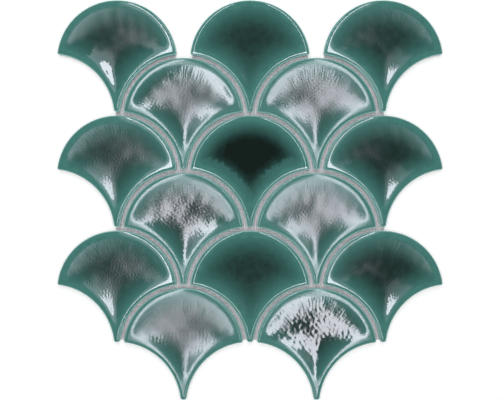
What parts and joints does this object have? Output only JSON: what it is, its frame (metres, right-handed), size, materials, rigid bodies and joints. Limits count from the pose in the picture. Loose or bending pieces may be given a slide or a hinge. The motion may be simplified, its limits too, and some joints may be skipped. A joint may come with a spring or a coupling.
{
  "type": "fish scale mosaic tile sheet",
  "caption": "Sheet of glossy green glazed fish scale tiles with dished faces, set in staggered rows on a net backing, with notched edges that interlock with the next sheet.",
  "frame": {"origin": "centre of the sheet's outline, on the underside of the net", "axes": "+X to the right and +Y towards the round heads of the scales, seen from the glazed face; +Z out of the glazed face"},
  "size_m": [0.2634, 0.273, 0.006],
  "materials": {
    "green_glaze": "gloss",
    "net": "matte"
  },
  "bodies": {
    "root": {"backing_net": "net", "scale_row1_left": "green_glaze", "scale_row1_middle": "green_glaze", "scale_row1_right": "green_glaze", "scale_row2_left": "green_glaze", "scale_row2_right": "green_glaze", "scale_row3_left": "green_glaze", "scale_row3_middle": "green_glaze", "scale_row3_right": "green_glaze", "scale_row4_left": "green_glaze", "scale_row4_right": "green_glaze", "scale_row5_left": "green_glaze", "scale_row5_middle": "green_glaze", "scale_row5_right": "green_glaze", "scale_row6_left": "green_glaze", "scale_row6_right": "green_glaze"}
  },
  "joints": []
}
